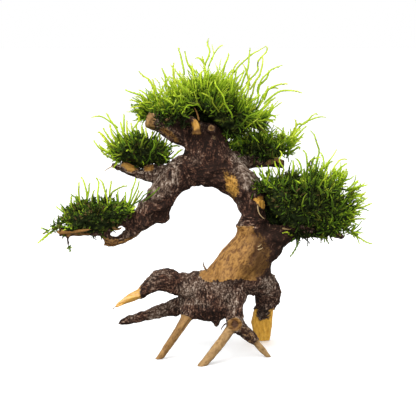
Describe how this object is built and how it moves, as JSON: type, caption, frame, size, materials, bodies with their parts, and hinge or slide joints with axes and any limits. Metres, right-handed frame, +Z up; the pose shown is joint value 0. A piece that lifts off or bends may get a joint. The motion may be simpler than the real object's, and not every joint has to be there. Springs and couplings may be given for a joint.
{
  "type": "moss tree on driftwood",
  "caption": "Small aquarium tree: a wind-bent driftwood root that stands on its own root tips, with cushions of feathery moss on its branches.",
  "frame": {"origin": "on the surface that the root tips stand on, under the middle of the object's box", "axes": "+Z up the tree, +X along its long branches towards the big right branch, +Y to its back"},
  "size_m": [0.1566, 0.0564, 0.15],
  "materials": {
    "bark": "rough weathered bark, dull",
    "peeled": "smooth peeled wood, satin",
    "moss": "fine feathery leaves, soft sheen"
  },
  "bodies": {
    "root": {"root_burl": "bark", "left_root": "bark", "back_left_root": "bark", "front_left_prong": "peeled", "fork_leg": "bark", "front_twig": "peeled", "right_twig": "peeled", "right_root": "bark", "lower_trunk": "peeled", "upper_trunk": "bark", "crown_limb": "bark", "left_limb": "bark", "left_middle_branch": "bark", "left_low_branch": "bark", "right_upper_branch": "bark", "right_branch": "bark", "moss_crown": "moss", "moss_left_middle": "moss", "moss_left_low": "moss", "moss_right_upper": "moss", "moss_right": "moss"}
  },
  "joints": []
}
